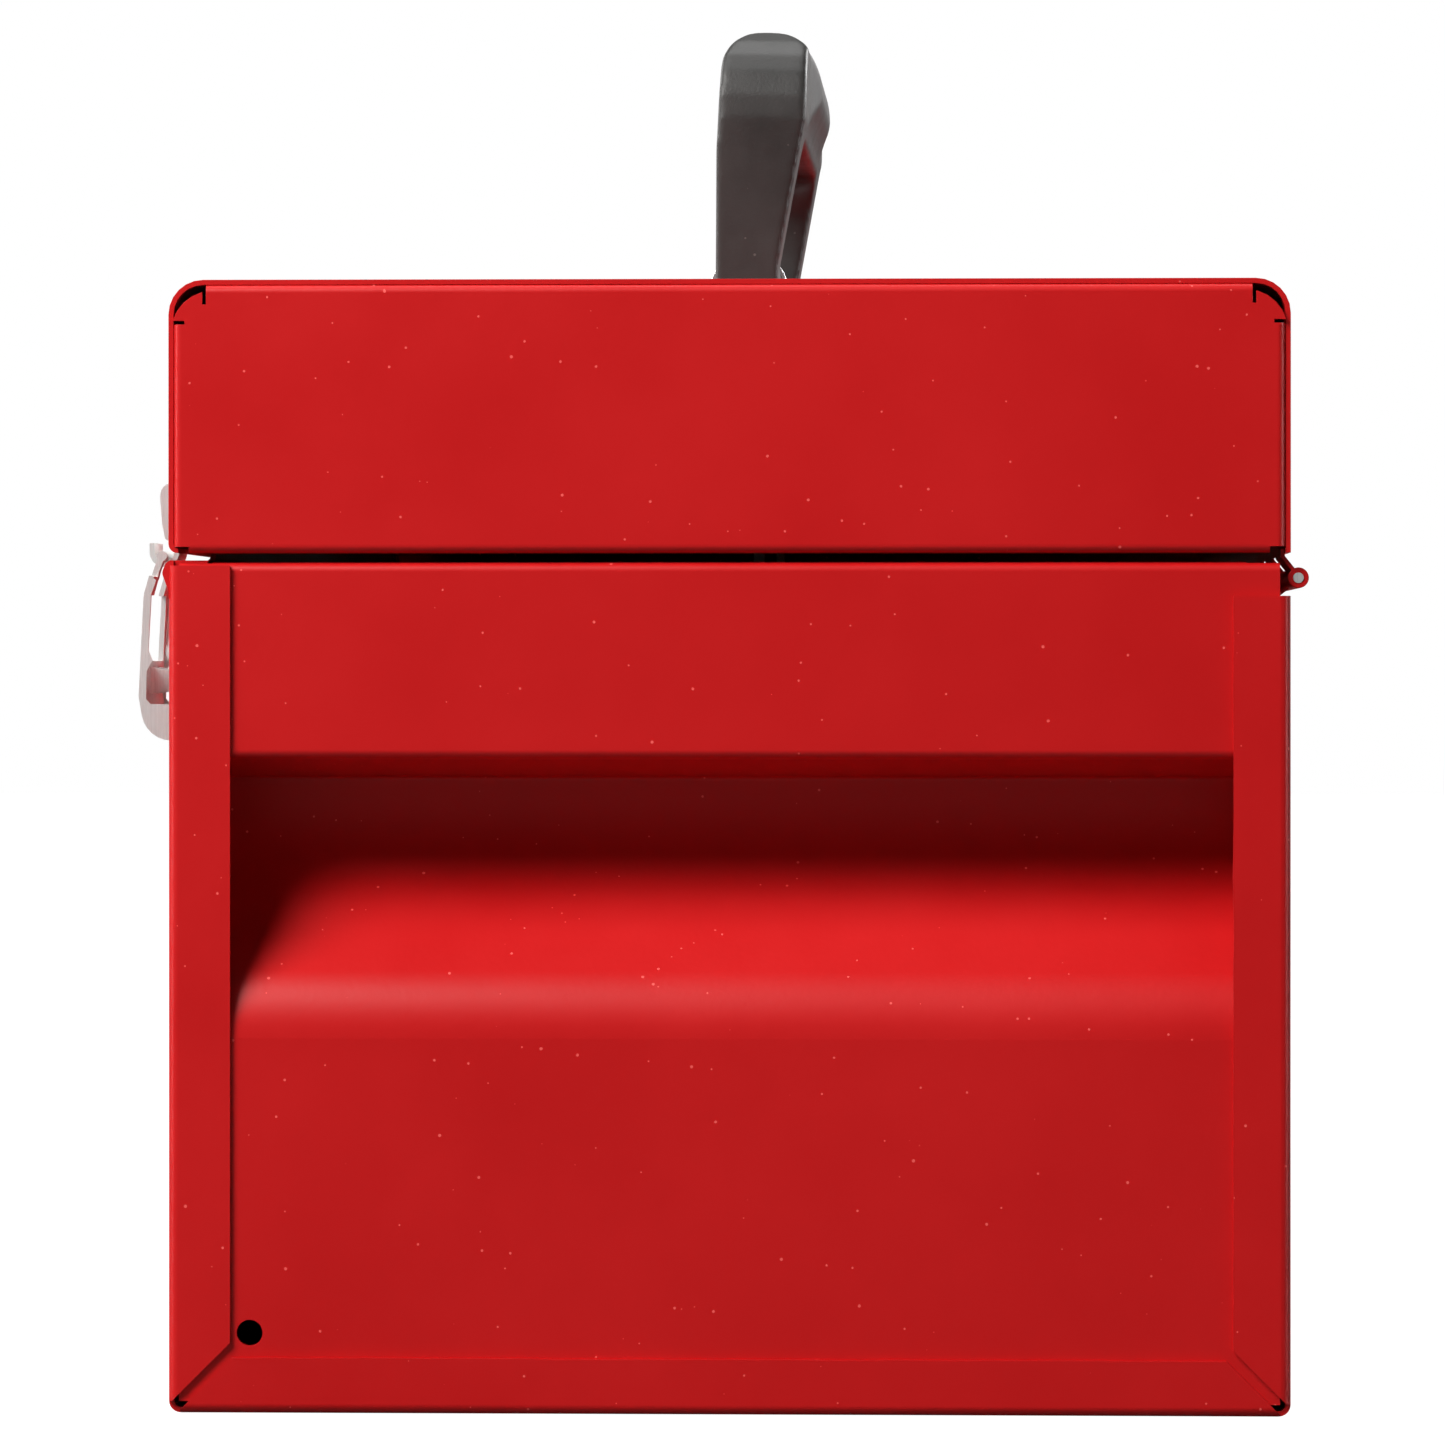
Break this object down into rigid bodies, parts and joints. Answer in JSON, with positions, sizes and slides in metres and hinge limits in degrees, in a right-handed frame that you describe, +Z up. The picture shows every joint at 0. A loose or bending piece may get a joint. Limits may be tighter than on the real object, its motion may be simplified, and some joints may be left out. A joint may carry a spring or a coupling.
{
  "type": "toolbox with tray",
  "caption": "Sheet-steel hand toolbox with a hinged flat lid, toggle latches, recessed ends, a folding carrying handle and a lift-out divided tray.",
  "frame": {"origin": "centre of the flat underside", "axes": "+X along the hinge, -Y towards the latches, +Z up"},
  "size_m": [0.508, 0.2289, 0.2835],
  "materials": {
    "red_steel": "satin powder coat with a fine orange peel",
    "tray_steel": "satin powder coat",
    "zinc_plate": "bright zinc plate",
    "bright_plate": "bright nickel plate",
    "handle_plastic": "fine-grained satin moulding"
  },
  "bodies": {
    "body": {"body_wrap": "red_steel", "end_panel_left": "red_steel", "end_panel_right": "red_steel", "hinge_body_leaf": "red_steel", "hinge_pin": "zinc_plate", "latch_base_left": "zinc_plate", "latch_base_right": "zinc_plate", "latch_base_rivets": "zinc_plate"},
    "lid": {"lid_wrap": "red_steel", "lid_end_left": "red_steel", "lid_end_right": "red_steel", "hinge_lid_leaf": "red_steel", "latch_strike_left": "zinc_plate", "latch_strike_right": "zinc_plate", "strike_rivets": "zinc_plate", "handle_bracket_left": "bright_plate", "handle_bracket_right": "bright_plate", "handle_rivets": "bright_plate", "handle_backing_plate": "red_steel"},
    "handle": {"handle_grip": "handle_plastic"},
    "link_left": {"latch_link_left": "zinc_plate"},
    "link_right": {"latch_link_right": "zinc_plate"},
    "lever_left": {"latch_lever_left": "zinc_plate"},
    "lever_right": {"latch_lever_right": "zinc_plate"},
    "tray": {"tray_pan": "tray_steel", "tray_partition": "tray_steel", "tray_dividers": "tray_steel", "tray_rivets": "zinc_plate"}
  },
  "joints": [
    {"name": "lid_hinge", "type": "hinge", "parent": "body", "child": "lid", "pos_m": [0, 0.1096, 0.161], "axis": [-1, 0, 0], "range_deg": [0, 180]},
    {"name": "tray_lift", "type": "slide", "parent": "body", "child": "tray", "axis": [0, 0, 1], "range_m": [0, 0.111]},
    {"name": "handle_fold", "type": "hinge", "parent": "lid", "child": "handle", "pos_m": [0, -0.0025, 0.2264], "axis": [1, 0, 0], "range_deg": [0, 91]},
    {"name": "latch_left_swing", "type": "hinge", "parent": "body", "child": "link_left", "pos_m": [-0.207, -0.1113, 0.1468], "axis": [-1, 0, 0], "range_deg": [0, 90]},
    {"name": "latch_left_lever", "type": "hinge", "parent": "link_left", "child": "lever_left", "pos_m": [-0.207, -0.1106, 0.141], "axis": [-1, 0, 0], "range_deg": [-73, 0]},
    {"name": "latch_right_swing", "type": "hinge", "parent": "body", "child": "link_right", "pos_m": [0.207, -0.1113, 0.1468], "axis": [-1, 0, 0], "range_deg": [0, 90]},
    {"name": "latch_right_lever", "type": "hinge", "parent": "link_right", "child": "lever_right", "pos_m": [0.207, -0.1106, 0.141], "axis": [-1, 0, 0], "range_deg": [-73, 0]}
  ],
  "couplings": [
    {"joint": "tray_lift", "follows": "lid_hinge", "m_per_rad": 0.035},
    {"joint": "latch_left_lever", "follows": "latch_left_swing", "ratio": -0.8},
    {"joint": "latch_right_lever", "follows": "latch_right_swing", "ratio": -0.8}
  ]
}
